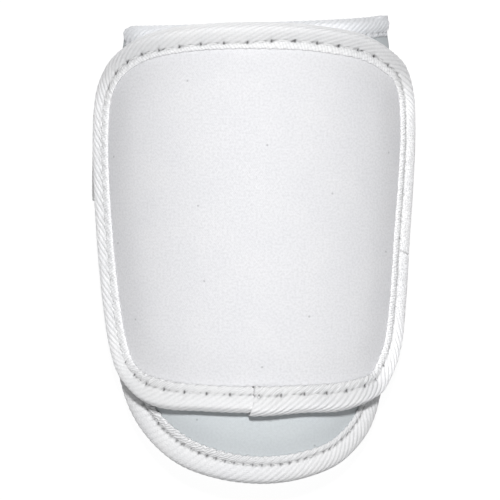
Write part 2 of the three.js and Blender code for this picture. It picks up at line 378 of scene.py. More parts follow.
def add_mesh(name, points, faces, uv=None, shade=None):
    mesh = bpy.data.meshes.new(name)
    faces = faces.tolist() if isinstance(faces, np.ndarray) else faces
    mesh.from_pydata(points.tolist(), [], faces)
    if uv is not None:
        layer = mesh.uv_layers.new(name="UVMap")
        corners = np.empty(len(mesh.loops), dtype=np.int32)
        mesh.loops.foreach_get("vertex_index", corners)
        layer.data.foreach_set("uv", uv[corners].astype(np.float32).ravel())
    if shade is not None:
        tone = mesh.color_attributes.new(name="shade", type="FLOAT_COLOR", domain="POINT")
        rgba = np.ones((len(points), 4), dtype=np.float32)
        rgba[:, :3] = shade
        tone.data.foreach_set("color", rgba.ravel())
    mesh.shade_smooth()
    piece = bpy.data.objects.new(name, mesh)
    bpy.context.scene.collection.objects.link(piece)
    return piece


def grid_faces(rows, columns, wrap_rows=False, wrap_columns=False, start=0):
    """Four-sided faces between the neighbours in a grid of points."""
    index = np.arange(rows * columns).reshape(rows, columns) + start
    if wrap_rows:
        index = np.vstack([index, index[:1]])
    if wrap_columns:
        index = np.hstack([index, index[:, :1]])
    corners = [index[:-1, :-1], index[:-1, 1:], index[1:, 1:], index[1:, :-1]]
    return np.stack(corners, axis=-1).reshape(-1, 4)


def tube_faces(rings, sides, start=0):
    """Faces of a tube of rings that is closed at both ends."""
    last = start + (rings - 1) * sides
    faces = grid_faces(rings, sides, wrap_columns=True, start=start).tolist()
    faces.append(list(range(start, start + sides))[::-1])
    faces.append(list(range(last, last + sides)))
    return faces


def two_sided(rows, columns):
    """Faces of a closed sheet: a grid, the same grid behind it, and the rim between them."""
    count = rows * columns
    index = np.arange(count).reshape(rows, columns)
    ring = np.concatenate([index[0], index[1:, -1], index[-1, -2::-1], index[-2:0:-1, 0]])
    ahead = np.roll(ring, -1)
    rim = np.stack([ring, ahead, ahead + count, ring + count], axis=1)
    behind = grid_faces(rows, columns, start=count)[:, ::-1]
    return np.vstack([grid_faces(rows, columns), behind, rim])


def closed_mesh(name, points, faces, uv=None, shade=None):
    """A mesh whose faces all point outward."""
    piece = add_mesh(name, points, faces, uv, shade)
    work = bmesh.new()
    work.from_mesh(piece.data)
    bmesh.ops.recalc_face_normals(work, faces=work.faces)
    work.to_mesh(piece.data)
    work.free()
    piece.data.shade_smooth()
    return piece


# Tapes: a folded section run along an outline

def groove_inset(width):
    """How far in from the rim a tape is sewn, clear of its lip."""
    return min(STITCH_INSET, width - 0.0015)


def tape_face(width, margin):
    """The tape's outer face in section, as (inward, height) from the front lip to the rim
    and on to the back lip, and how far each point is from the rim along the face."""
    seat = margin / 2 + SEAT_GAP
    groove = groove_inset(width)
    front = np.array([
        (width + 0.0001, seat + 0.0001),
        (width + 0.0001, seat + 0.0003),
        (width - 0.0005, seat + 0.00075),
        (0.5 * (width + groove), seat + 0.00095),
        (groove + 0.0006, seat + 0.00065),
        (groove, seat + 0.0003),
        (groove - 0.0007, seat + 0.0008),
        (0.72 * groove, seat + 0.0014),
        (0.5 * groove, seat + 0.0017),
        (0.28 * groove, seat + 0.0013),
        (0.0007, 0.75 * seat),
        (0.0, 0.0),
    ])
    back = np.array([
        (0.0, 0.0),
        (0.0007, -0.75 * seat),
        (0.28 * groove, -seat - 0.0009),
        (0.5 * groove, -seat - 0.0012),
        (groove, -seat - 0.001),
        (width - 0.0005, -seat - 0.0011),
        (width, -seat - 0.0001),
    ])
    front = evenly(smooth_curve(front, closed=False, samples=16), TAPE_FRONT_POINTS)
    back = evenly(smooth_curve(back, closed=False, samples=16), TAPE_BACK_POINTS)
    along_front = run_lengths(front)
    along_back = run_lengths(back)
    face = np.vstack([front, back[1:]])
    reach = np.concatenate([along_front[-1] - along_front, -along_back[1:]])
    return face, reach


def seat_top(margin):
    """How high a tape's roll stands over the sheet's middle."""
    return margin / 2 + SEAT_GAP + 0.0013


def even(value):
    """The same value all along a tape."""
    return lambda x, y: value + 0 * x


def no_layer(s, _w, _length):
    """A tape that lies as its section does: no reach outward, rise, slide or tuck."""
    none = np.zeros_like(s)
    return none, none, none, none


# How a tape looks where nothing more is said. A function gives the value at each place.
PLAIN_LOOK = {
    "pitch": even(0.0030),
    "strip_painted_light": even(0.0),
    "rim_painted_light": even(0.0),
    "widen": even(0.0),
    "fill": even(0.0),
    "blunt": even(0.0),
    "crease": lambda x, y, w: 0 * (x + w),
    "layer": no_layer,
    "hole": 0.0004,
    "pull": 0.0002,
    "thread": 0.0002,
    "thread_lift": 0.0001,
    "thread_ends": 0.0009,
}


def tape_marks(s, w, at, groove_reach, look):
    """What is worked into a tape: ribs, the sewn groove, beads along its strip, a crease.
    Gives the phases of ribs and beads, the beads' lumps, the height, and the painted shade and
    light: shade between ribs, in the groove and in the crease, light on the strip and near the rim."""
    seed = look["seed"]
    pitch = look["pitch"](*at)
    turns = np.cumsum(TAPE_STEP / pitch[:, 0])[:, None]
    wander = 0.12 * slow_noise(s + 0.7 * w, seed, 0.009)
    wander = wander + 0.3 * slow_noise(s[:, 0], seed + 3, 0.03)[:, None]
    phase = turns + look["slant"](*at) * w / pitch + wander
    rib = np.abs(np.sin(math.pi * phase)) ** 0.6
    on_strip = smoothstep(w, groove_reach, groove_reach + STRIP_EDGE)
    behind = smoothstep(-w, 0.001, 0.003)
    relief = look["relief"](*at) * (1 - 0.45 * on_strip) * (1 - 0.5 * behind)
    relief = relief * (1 + 0.35 * slow_noise(s - w, seed + 2, 0.004))
    relief = relief * (1 - 0.6 * bump_at(w, groove_reach, GROOVE_CALM))
    height = relief * (rib - 0.8)
    # Painted shade in the gaps between ribs, times a tone that paints light and shade by place
    # along the tape.
    shade = look["tone"](*at) * (1 - look["rib_gap_painted_shade"](*at) * (1 - rib) * (1 - 0.3 * on_strip))
    in_groove = bump_at(w, groove_reach, GROOVE_HALF)
    dash = 0.75 + 0.45 * slow_noise(s, seed + 4, 0.002)
    # Painted shade in the sewn groove, in dashes.
    shade = shade * (1 - look["groove_painted_shade"](*at) * dash * in_groove * (1.3 - rib))
    # Painted light brightens the strip.
    shade = shade * (1 + look["strip_painted_light"](*at) * on_strip)
    # Painted light near the rim, and painted shade just before the groove.
    near_rim = 1 - smoothstep(w, 0.001, 0.0072)
    near_rim = near_rim - 0.16 * smoothstep(w, 0.0045, 0.0075) * (1 - on_strip)
    shade = shade * (1 + look["rim_painted_light"](*at) * near_rim)

    past_groove = w - groove_reach
    bead = look["bead"](*at)
    bead_pitch = look["bead_pitch"](*at)
    fill = look["fill"](*at)
    beads = np.cumsum(TAPE_STEP / bead_pitch[:, 0])[:, None]
    beads = beads + look["bead_slant"](*at) * past_groove / bead_pitch
    beads = beads + 0.45 * bead * slow_noise(s, seed + 5, 0.0016)
    lumps = slow_noise(s + 0.6 * w, seed + 7, 0.0006)
    height = height + BEAD_HEIGHT * bead * (1 + 1.6 * fill) * lumps * on_strip
    height = height + FILL_HEIGHT * fill * bump_at(past_groove, 0, 0.0018)
    crease = look["crease"](*at, w)
    height = height - CREASE_DEPTH * crease
    # Painted shade in the crease.
    shade = shade * (1 - 0.4 * crease)
    return phase, beads, lumps, height, shade


def press_stitches(height, shade, s, w, at, groove_reach, look):
    """Presses the stitch holes into a tape, with the pull round each, and paints shade into them.
    """
    hole_shade = np.broadcast_to(look["hole_painted_shade"](*at), (len(s), 1))[:, 0]
    for place in look["stitches"]:
        near = np.abs(s[:, 0] - place) < HOLE_REACH
        gap = np.hypot(s[near] - place, 0.8 * (w[near] - groove_reach))
        hole = np.exp(-(gap / look["hole"]) ** 2)
        pull = np.exp(-(gap / (3.2 * look["hole"])) ** 2)
        height[near] -= HOLE_DEPTH * hole + look["pull"] * pull
        # Painted shade in each hole.
        shade[near] *= 1 - hole_shade[near][:, None] * hole


def tape_inner(width, margin):
    """The tape's inner face in section, from the back lip round to the front one."""
    seat = margin / 2 + 0.00006
    return np.array([
        (width, -seat),
        (0.0019, -seat),
        (0.0012, 0.0),
        (0.0019, seat),
        (width, seat),
    ])


def bound_tape(name, surface, line, width, margin, look):
    """A folded tape with woven ribs, sewn down through a groove, run along a line."""
    length = run_lengths(line)[-1]
    count = int(length / TAPE_STEP)
    stations = evenly(line, count)
    inward = inward_normals(stations, closed=False)
    ahead = np.stack([-inward[:, 1], inward[:, 0]], axis=1)
    at = stations[:, :1], stations[:, 1:]
    face, reach = tape_face(width, margin)
    tangent = unit(np.gradient(face, axis=0))
    off_in, off_up = tangent[None, :, 1], -tangent[None, :, 0]
    face_in, face_up = face[None, :, 0], face[None, :, 1]
    groove = groove_inset(width)
    front = reach > 0
    groove_reach = np.interp(groove, face[front][::-1, 0], reach[front][::-1])
    s, w = np.meshgrid(np.linspace(0, length, count), reach, indexing="ij")
    phase, beads, lumps, height, shade = tape_marks(s, w, at, groove_reach, look)
    press_stitches(height, shade, s, w, at, groove_reach, look)
    outward, raised, slide, tuck = look["layer"](s, w, length)
    bead = look["bead"](*at)

    anchored = smoothstep(face_in, 0.4 * groove, width)
    inset = face_in + off_in * height - outward * (1 - anchored)
    inset = inset - tuck * smoothstep(inset, groove, width)
    to_groove = np.clip(inset / groove, 0, 1)
    to_lip = np.clip((width - inset) / (width - groove), 0, 1)
    inset = inset + look["widen"](*at) * np.minimum(to_groove, to_lip)
    wavy = BEAD_HEIGHT * lumps + 0.00008 * np.sin(2 * math.pi * beads)
    inset = inset + bead * wavy * smoothstep(inset, width - 0.0012, width)
    level = face_up + off_up * height + raised * np.tanh(w / 0.001)
    blunt = look["blunt"](*at) * smoothstep(w, 0, 0.0005) * (w < 0.5 * groove_reach)
    level = level + blunt * np.maximum(seat_top(margin) - level, 0)
    over_cover = margin / 2 + 0.00016
    level = np.where(face_in * front > 0.002, np.maximum(level, over_cover), level)

    inner = tape_inner(width, margin)
    lift_inner = raised[:, :1] * np.sign(inner[None, :, 1])
    at_rim = inner[None, :, 0] < groove
    inset = np.hstack([inset, inner[None, :, 0] - outward[:, :1] * at_rim])
    level = np.hstack([level, inner[None, :, 1] + lift_inner])
    slide = np.hstack([slide, np.zeros((count, len(inner)))])
    across = at[0] + inward[:, :1] * inset + ahead[:, :1] * slide
    down = at[1] + inward[:, 1:] * inset + ahead[:, 1:] * slide
    points = lift(surface, across, down, level)
    points[..., 2] = np.maximum(points[..., 2], TABLE_GAP)

    columns = points.shape[1]
    past_groove = w - groove_reach
    uv = np.zeros((count, columns, 2))
    uv[:, :len(reach), 0] = np.where(past_groove > 0, beads, phase)
    uv[:, :len(reach), 1] = past_groove * UV_SCALE
    # The vertex colour's red is the painted shade and light, green the beads, blue the fine flecks.
    tone = np.ones((count, columns, 3))
    tone[:, :len(reach), 0] = shade
    tone[..., 1] = bead
    tone[..., 2] = look["fine"](*at)
    faces = tube_faces(count, columns)
    return closed_mesh(
        name, points.reshape(-1, 3), faces, uv.reshape(-1, 2), tone.reshape(-1, 3))


def threads(name, surface, line, width, margin, look):
    """The sewing thread that shows between one stitch hole and the next."""
    level = margin / 2 + SEAT_GAP + look["thread_lift"]
    radius = look["thread"]
    ends = look["thread_ends"]
    runs = run_lengths(line)
    inward = inward_normals(line, closed=False)
    widen = look["widen"](line[:, 0], line[:, 1])
    steps = np.linspace(0, 1, THREAD_RINGS)
    turn = np.linspace(0, 2 * math.pi, THREAD_SIDES, endpoint=False)
    on_strip = np.full((THREAD_RINGS, 1), 0.009)
    points, faces = [], []
    for start, end in zip(look["stitches"][:-1], look["stitches"][1:]):
        at = start + ends + (end - start - 2 * ends) * steps
        spot = read_along(at, runs, line)
        side = read_along(at, runs, inward)
        outward, raised, _, _ = look["layer"](at[:, None], on_strip, runs[-1])
        rise = level + raised[:, 0] + THREAD_RISE * np.sin(math.pi * steps) ** 0.5
        rise = rise - THREAD_DIP * (np.abs(2 * steps - 1) ** 5)
        inset = groove_inset(width) - outward[:, 0] + np.interp(at, runs, widen)
        ring_in = inset[:, None] + radius * np.cos(turn)[None, :]
        ring_up = rise[:, None] + 0.8 * radius * np.sin(turn)[None, :]
        across = spot[:, :1] + side[:, :1] * ring_in
        down = spot[:, 1:] + side[:, 1:] * ring_in
        faces += tube_faces(THREAD_RINGS, THREAD_SIDES, sum(len(part) for part in points))
        points.append(lift(surface, across, down, ring_up).reshape(-1, 3))
    return closed_mesh(name, np.vstack(points), faces)


def sewn_tape(name, surface, line, width, margin, look):
    """A tape and its thread, and the tape's length."""
    args = (surface, line, width, margin, look)
    return bound_tape(name, *args), threads(name + "_thread", *args), run_lengths(line)[-1]


# The three tapes

def spread_places(start, end, pitch):
    """Evenly spaced places from start to end, with a pitch near the one asked for."""
    count = max(1, round((end - start) / pitch))
    return [start + (end - start) * step / count for step in range(count + 1)]


def nearest_index(line, x, y):
    return int(np.argmin(np.hypot(line[:, 0] - x, line[:, 1] - y)))


def build_panel_tape():
    loop = panel_line()[:-1]
    bottom = PANEL_MIDDLE_Y - PANEL_LENGTH / 2
    loop = np.roll(loop, -nearest_index(loop, LAP_START_X, bottom), axis=0)
    end = nearest_index(loop[:300], LAP_END_X, bottom)
    line = np.vstack([loop, loop[:end + 1]])
    runs = run_lengths(line)
    top_hole = runs[nearest_index(line, -0.0024, PANEL_TOP_Y)]
    first = runs[nearest_index(line[:300], -0.0093, bottom)]
    places = spread_places(first, top_hole, PANEL_STITCH)
    places += spread_places(top_hole, runs[-1] - 0.002, PANEL_STITCH)[1:]

    def calm(x, y):
        """1 on the straight part of the right side, where the ribs are finest."""
        return smoothstep(x, 0.05, 0.066) * smoothstep(y, -0.04, -0.02) * (
            1 - smoothstep(y, 0.045, 0.062))

    def bold(x, y):
        """How strongly the ribs show: least low on the left, most low on the right."""
        low = smoothstep(-y, 0.03, 0.06)
        left = smoothstep(-x, -0.002, 0.004)
        return 1 - 0.45 * low * left + 0.15 * low * (1 - left) - 0.2 * (1 - low) * left

    def layer(s, w, length):
        """The end laps over the start: it lies higher, is cut at a slant and stands out,
        and the start is tucked under it. The roll swells a little on both sides of the lap."""
        out = 0.0013 * smoothstep(s, length - 0.04, length - 0.002) ** 2
        out = out + 0.0012 * bump_at(s, 0.044, 0.018)
        out = out + 0.0010 * bump_at(s, length - 0.036, 0.020)
        under = LAP_START_X - LAP_END_X
        rise = 0.00095 * smoothstep(s, length - under - 0.008, length - under - 0.001)
        rise = rise * (1 - 0.45 * smoothstep(s, length - 0.0012, length))
        slide = -0.19 * (w - 0.006) * smoothstep(s, length - 0.006, length)
        slide = np.where(w > -0.004, slide, 0)
        tuck = 0.0004 * (1 - smoothstep(s, under - 0.002, under - 0.0005))
        return out + 0 * w, rise + 0 * w, slide, tuck

    def at_side(x, y):
        """1 along the two sides, up to the top corners."""
        return smoothstep(np.abs(x), 0.050, 0.064) * (1 - smoothstep(y, 0.055, 0.075))

    def at_top(y):
        top = PANEL_MIDDLE_Y + 0.06
        return smoothstep(y, top - 0.01, top + 0.008)

    def crease(x, y, w):
        """One fold across the roll, half way down the right side."""
        gap = (y - 0.3 * w + 0.0036) / 0.00035
        return np.exp(-gap ** 2) * (x > 0) * (w > 0) * (w < 0.0098)

    look = PLAIN_LOOK | {
        "seed": 3,
        "pitch": lambda x, y: (0.0032 + 0.0006 * at_top(y)) * (1 - 0.3 * calm(x, y)),
        "slant": lambda x, y: 1.25 + 0.85 * at_top(y) + 0.4 * at_side(x, y),
        "relief": lambda x, y: bold(x, y) * 0.00045 * (1 - 0.85 * calm(x, y))
            * (1 - 0.35 * at_top(y)),
        # Painted shade between ribs and in the groove; the tone paints light on the sides, most on
        # the right, and is darker along the top; painted light on the strip and near the rim.
        "rib_gap_painted_shade": lambda x, y: bold(x, y) * 0.17 * (1 - 0.8 * calm(x, y)),
        "tone": lambda x, y: 1 + at_side(x, y) * (0.15 + 0.14 * (x > 0)) - 0.07 * at_top(y),
        "strip_painted_light": lambda x, y: 0.10 + 0.09 * at_top(y) - 0.04 * at_side(x, y),
        "rim_painted_light": lambda x, y: 0.37 * at_top(y) + 0.17 * smoothstep(-y, 0.042, 0.058),
        "groove_painted_shade": lambda x, y: 0.6 + 0.2 * at_top(y) - at_side(x, y) * (0.24 + 0.26 * (x < 0)),
        "widen": lambda x, y: 0.0011 * at_top(y) * (1 - smoothstep(x, -0.004, 0.012))
            * smoothstep(x, -0.058, -0.035),
        "fill": lambda x, y: at_side(x, y) * (x < 0),
        "stitches": places,
        # Painted shade in the stitch holes, fainter far out on the sides.
        "hole_painted_shade": lambda x, y: 0.97 - (0.75 - 0.3 * (x > 0)) * smoothstep(
            np.abs(x), 0.060, 0.068),
        "hole": 0.00041,
        "pull": 0.0003,
        "bead": lambda x, y: 0.95 - 0.35 * at_side(x, y) * (x < 0) - 0.35 * at_top(y),
        "bead_pitch": lambda x, y: 0.00115 + 0.0003 * at_top(y),
        "bead_slant": lambda x, y: 1.2 - 1.6 * np.maximum(at_side(x, y), at_top(y)),
        "fine": lambda x, y: 0.15 + 0.85 * calm(x, y),
        "crease": crease,
        "layer": layer,
        "thread": 0.00022,
        "thread_lift": 0.00012,
        "thread_ends": 0.0014,
    }
    return sewn_tape("panel_tape", panel_surface, line, TAPE_WIDTH, PANEL_MARGIN, look)


def build_tongue_tape():
    line = tongue_line()
    length = run_lengths(line)[-1]

    def layer(s, w, length):
        """The roll stands a little further out along the left of the tongue,
        and the strip reaches further in."""
        share = s / length
        out = 0.0009 * smoothstep(share, 0.5, 0.68) * (1 - smoothstep(share, 0.93, 1.0))
        reach = 0.0004 + 0.0007 * smoothstep(share, 0.33, 0.48)
        none = np.zeros_like(s + w)
        return out + none, none, none, none - reach

    look = PLAIN_LOOK | {
        "seed": 17,
        "slant": lambda x, y: 0.7 + 0.95 * smoothstep(x, -0.035, 0.03),
        "relief": lambda x, y: 0.00036 * (0.65 + 0.35 * smoothstep(x, -0.03, 0.02)),
        # Painted shade between ribs, in the groove and in the stitch holes; painted light on the
        # strip.
        "rib_gap_painted_shade": lambda x, y: 0.09 + 0.06 * smoothstep(x, -0.03, 0.02),
        "tone": even(1.0),
        "strip_painted_light": even(0.09),
        "groove_painted_shade": even(0.7),
        "widen": lambda x, y: 0.0010 + 0.0003 * smoothstep(np.abs(x), 0.01, 0.03),
        "stitches": spread_places(0.004, length - 0.004, PAD_STITCH),
        "hole_painted_shade": lambda x, y: 0.75 - 0.45 * smoothstep(np.abs(x + 0.005), 0.014, 0.03),
        "bead": lambda x, y: 0.9 + 0.4 * smoothstep(-x, -0.01, 0.02),
        "bead_pitch": lambda x, y: 0.0013 + 0.0006 * smoothstep(-x, 0.005, 0.025),
        "bead_slant": even(1.4),
        "fine": even(0.25),
        "layer": layer,
    }
    return sewn_tape("tongue_tape", pad_surface, line, TAPE_WIDTH, PAD_MARGIN, look)


def build_top_tape():
    line = pad_top_line()
    low, high = line[0, 0] + PAD_FREE_INSET, line[-1, 0] - PAD_FREE_INSET
    line = line[(line[:, 0] > low) & (line[:, 0] < high)]
    length = run_lengths(line)[-1]
    look = PLAIN_LOOK | {
        "seed": 29,
        "slant": even(1.3),
        "relief": even(0.00040),
        # Painted shade between ribs, in the groove and in the stitch holes; the tone paints light
        # on this tape, which lies in the panel's shadow, less towards its ends.
        "rib_gap_painted_shade": even(0.16),
        "tone": lambda x, y: 1.19 - 0.10 * smoothstep(np.abs(x + 0.004), 0.042, 0.056),
        "groove_painted_shade": even(0.4),
        "stitches": spread_places(0.003, length - 0.003, PAD_STITCH),
        "hole_painted_shade": even(0.3),
        "bead": even(0.6),
        "bead_pitch": even(0.0013),
        "bead_slant": even(0.8),
        "fine": even(0.2),
        "blunt": lambda x, y: smoothstep(x, 0.054, 0.060),
    }
    return sewn_tape("pad_top_tape", pad_surface, line, TOP_TAPE_WIDTH, PAD_MARGIN, look)


# Padded covers: a grid inside an outline, front and back, swelled by a cloth simulation

def four_sided(outline, corners, rows, columns):
    """A grid of points inside a clockwise outline, from its four corner points."""
    marks = [nearest_index(outline, *corner) for corner in corners]
    twice = np.vstack([outline, outline])
    sides = []
    for start, end, count in zip(marks, marks[1:] + marks[:1], (columns, rows) * 2):
        after = end + 1 if start < end else end + 1 + len(outline)
        sides.append(evenly(twice[start:after], count))
    top, right, bottom, left = sides[0], sides[1], sides[2][::-1], sides[3][::-1]
    across = np.linspace(0, 1, columns)[None, :, None]
    down = np.linspace(0, 1, rows)[:, None, None]
    grid = (1 - down) * top[None] + down * bottom[None]
    grid = grid + (1 - across) * left[:, None] + across * right[:, None]
    grid = grid - (1 - across) * (1 - down) * top[0] - across * (1 - down) * top[-1]
    return grid - (1 - across) * down * bottom[0] - across * down * bottom[-1]


def ringed(line):
    """The line, closed by its first point."""
    return np.vstack([line, line[:1]])


def padded_cover(name, surface, inner, corners, bound, sizes, rim=None):
    """A closed padded form: full in the middle, thin where a tape holds its edge.
    Its places under a tape, and those near a rim, are held while the rest is swelled."""
    rows, columns = sizes["grid"]
    grid = four_sided(inner, corners, rows, columns).reshape(-1, 2)
    gaps = [distance_to(line, grid) - hold for line, hold, _ in bound]
    eases = [ease for _, _, ease in bound]
    fullness = np.min([smoothstep(gap, 0, ease) for gap, ease in zip(gaps, eases)], axis=0)
    margin = sizes["margin"] / 2
    half = margin + (sizes["full"] / 2 - COVER_PUFF - margin) * fullness
    half = half * (0.45 + 0.55 * smoothstep(distance_to(ringed(inner), grid), 0, 0.0018))
    front = lift(surface, grid[:, 0], grid[:, 1], half)
    back = lift(surface, grid[:, 0], grid[:, 1], -half)
    uv = np.vstack([grid, grid]) * UV_SCALE
    piece = closed_mesh(name, np.vstack([front, back]), two_sided(rows, columns), uv)
    if rim is not None:
        gaps.append(distance_to(rim, grid) - RIM_HOLD)
    free = smoothstep(np.min(gaps, axis=0), -0.0005, 0.0020)
    swell(piece, 1 - np.concatenate([free, free]))
    subdivide(piece)
    return piece


def swell(piece, held):
    """Swells a closed cover by a short cloth simulation, with its held points fixed."""
    count = len(piece.data.vertices)
    rest = np.empty(count * 3)
    piece.data.vertices.foreach_get("co", rest)
    group = piece.vertex_groups.new(name="held")
    for index in range(count):
        group.add([index], float(held[index]), "REPLACE")
    cloth = piece.modifiers.new("Cloth", "CLOTH")
    settings = cloth.settings
    settings.quality = 6
    settings.mass = 0.3
    settings.tension_stiffness = 40
    settings.compression_stiffness = 40
    settings.shear_stiffness = 20
    settings.bending_stiffness = 4
    settings.vertex_group_mass = "held"
    settings.pin_stiffness = 1
    settings.use_pressure = True
    settings.uniform_pressure_force = 4
    settings.effector_weights.gravity = 0
    cloth.collision_settings.use_self_collision = False
    cloth.collision_settings.use_collision = False
    scene = bpy.context.scene
    for moment in range(1, SWELL_FRAMES + 1):
        scene.frame_set(moment)
    shown = piece.evaluated_get(bpy.context.evaluated_depsgraph_get())
    moved = np.empty(count * 3)
    shown.data.vertices.foreach_get("co", moved)
    piece.modifiers.remove(cloth)
    scene.frame_set(1)
    move = (moved - rest).reshape(-1, 3)
    size = np.linalg.norm(move, axis=1, keepdims=True)
    move = move * np.tanh(size / SWELL_CAP) * SWELL_CAP / np.maximum(size, 1e-9)
    piece.data.vertices.foreach_set("co", rest + move.ravel())
    piece.vertex_groups.clear()
    piece.data.update()


def subdivide(piece):
    modifier = piece.modifiers.new("Subdivision", "SUBSURF")
    modifier.levels = SUBDIVISIONS
    modifier.render_levels = SUBDIVISIONS
    shown = piece.evaluated_get(bpy.context.evaluated_depsgraph_get())
    mesh = bpy.data.meshes.new_from_object(shown)
    piece.modifiers.clear()
    piece.data = mesh
    piece.data.shade_smooth()


def build_panel_cover():
    outline = evenly(panel_line(), 601)[:-1]
    corners = np.array([(-0.062, 0.080), (0.066, 0.078), (0.056, -0.052), (-0.054, -0.052)])
    sizes = {"grid": PANEL_GRID, "margin": PANEL_MARGIN, "full": PANEL_THICKNESS}
    bound = [(ringed(outline)[::3], 0.0105, 0.0155)]
    inner = outline + inward_normals(outline, closed=True) * EDGE_INSET
    return padded_cover("panel_cover", panel_surface, inner, corners, bound, sizes)


def pad_inner_line(top, side):
    """The pad's own edge: well inside its tapes, and near the cut where it has none."""
    free = smoothstep(side[:, 1], TONGUE_TAPE_TOP_Y - 0.004, TONGUE_TAPE_TOP_Y + 0.004)
    flare = 0.0036 * smoothstep(side[:, 1], 0.05, 0.075)
    inset = EDGE_INSET + (PAD_FREE_INSET - EDGE_INSET) * free - flare
    moved = side + inward_normals(side, closed=False) * inset[:, None]
    lowered = top - np.array([0, EDGE_INSET])
    moved = moved[moved[:, 1] < np.where(moved[:, 0] > 0, lowered[-1, 1], lowered[0, 1])]
    within = (lowered[:, 0] > moved[-1, 0]) & (lowered[:, 0] < moved[0, 0])
    left = (moved[-1, 0], lowered[0, 1])
    right = (moved[0, 0], lowered[-1, 1])
    return np.vstack([left, lowered[within], right, moved])


def build_pad_cover():
    top = pad_top_line()
    side = pad_side_line()
    outline = evenly(np.vstack([top[:-1], side]), 701)[:-1]
    inner = pad_inner_line(top, side)
    corners = np.array([inner[0], top[-1], (0.046, -0.075), (-0.042, -0.076)])
    sizes = {"grid": PAD_GRID, "margin": PAD_MARGIN, "full": PAD_THICKNESS}
    bound = [(top[::6], 0.0085, 0.0040), (tongue_line()[::6], 0.0100, 0.0095)]
    return padded_cover(
        "pad_cover", pad_surface, inner, corners, bound, sizes, rim=ringed(outline))


# The strap: woven webbing tucked under the panel, folded back and laid on the table

def panel_reach(outline, side, y):
    """How far the panel's outline reaches to one side at one height up the guard."""
    ahead = np.roll(outline, -1, axis=0)
    spans = (outline[:, 1] - y) * (ahead[:, 1] - y) <= 0
    spans &= outline[:, 1] != ahead[:, 1]
    start, end = outline[spans], ahead[spans]
    share = (y - start[:, 1]) / (end[:, 1] - start[:, 1])
    return max(0, np.max(side * (start[:, 0] + share * (end[:, 0] - start[:, 0]))))


def strap_side(outline, side, y, fold_x):
    """One side of the strap's route at one height up the guard, as (x, z) points."""
    reach = panel_reach(outline, side, y)
    half = STRAP_THICKNESS / 2
    under = -(PANEL_THICKNESS / 2 + SEAT_GAP + half)
    points = []
    for inset in (STRAP_TUCK, 0.6 * STRAP_TUCK, 0.8 * TAPE_WIDTH, 0.3 * TAPE_WIDTH):
        spot = lift(panel_surface, np.array(reach - inset), np.array(y), under) - PLACE
        points.append((spot[0], spot[2]))
    tape_half = PANEL_MARGIN / 2 + SEAT_GAP + TAPE_WALL
    foot = lift(panel_surface, np.array(reach), np.array(y), -tape_half / 2)
    top = (foot - PLACE)[2] - 2 * SEAT_GAP - STRAP_THICKNESS
    radius = (top - FLOOR - half) / 2
    centre = fold_x - half - radius
    for step in range(FOLD_STEPS + 1):
        angle = math.pi / 2 - math.pi * step / FOLD_STEPS
        height = FLOOR + half + radius * (1 + math.sin(angle))
        points.append((centre + radius * math.cos(angle), height))
    return np.array([(side * x, z) for x, z in points])


def woven_ribbon(name, side, fold_at, tail, count, weave_at):
    """A band of the strap: from under one side of the panel, round a fold and along a tail."""
    outline = panel_line()[:-1]
    tops, bottoms, flat = [], [], []
    for share in np.linspace(0.5, -0.5, RIBBON_LANES):
        y = strap_centre_y(side * PANEL_WIDTH / 2) + share * STRAP_WIDTH
        route = np.vstack([strap_side(outline, side, y, fold_at(share)), tail])
        route = evenly(smooth_curve(route, closed=False, samples=24), count)
        run = unit(np.gradient(route, axis=0))
        off = np.stack([-run[:, 1], run[:, 0]], axis=1)
        along = run_lengths(route)
        edge = 1 - 0.55 * abs(2 * share) ** 10
        half = STRAP_THICKNESS / 2 * edge + weave_at(along, share * STRAP_WIDTH)
        y = strap_centre_y(route[:, 0]) + share * STRAP_WIDTH
        for pile, sign in ((tops, 1), (bottoms, -1)):
            place = route + sign * off * half[:, None]
            pile.append(np.stack([place[:, 0], y, place[:, 1]], axis=1) + PLACE)
        flat.append(np.stack([along, np.full_like(along, share * STRAP_WIDTH)], axis=1))
    sheets = np.concatenate([np.array(bottoms), np.array(tops)[::-1]])
    sheets[..., 2] = np.maximum(sheets[..., 2], TABLE_GAP)
    uv = np.concatenate([np.array(flat), np.array(flat)[::-1]]) * UV_SCALE
    lanes = len(sheets)
    faces = grid_faces(lanes, count, wrap_rows=True).tolist()
    faces.append([lane * count for lane in range(lanes)])
    faces.append([lane * count + count - 1 for lane in range(lanes)][::-1])
    return closed_mesh(name, sheets.reshape(-1, 3), faces, uv.reshape(-1, 2))


def build_elastic():
    """The long band: round its fold on the left and flat across underneath."""
    flat = FLOOR + STRAP_THICKNESS / 2
    tail = [(x, flat) for x in (-0.035, -0.015, 0.010, ELASTIC_END_X)]

    def fold_at(share):
        """The fold stands a little further out at the strap's lower edge."""
        return STRAP_FOLD_LEFT - 0.0006 * share

    def weave(along, y):
        rows = np.sin(2 * math.pi * along / 0.0013)
        cords = np.sin(2 * math.pi * y / 0.0019)
        return 0.00006 * rows + 0.00009 * cords

    return woven_ribbon("strap_elastic_band", -1, fold_at, tail, ELASTIC_STATIONS, weave)


def build_tab():
    """The short band: round its fold on the right, rising over the elastic's end."""
    flat = FLOOR + STRAP_THICKNESS / 2
    raised = FLOOR + STRAP_THICKNESS * 1.5 + HOOK_THICKNESS + 2 * SEAT_GAP
    tail = [(ELASTIC_END_X + TAB_RISE + 0.005, flat), (ELASTIC_END_X + 0.005, raised)]
    tail += [(x, raised) for x in (0.020, 0.005, TAB_END_X)]

    def weave(along, y):
        rows = np.sin(2 * math.pi * along / 0.0016)
        cords = np.sin(2 * math.pi * y / 0.0024)
        return 0.00005 * rows * cords + 0.00005 * cords

    def fold_at(_share):
        return STRAP_FOLD_RIGHT

    return woven_ribbon("strap_tab_band", 1, fold_at, tail, TAB_STATIONS, weave)


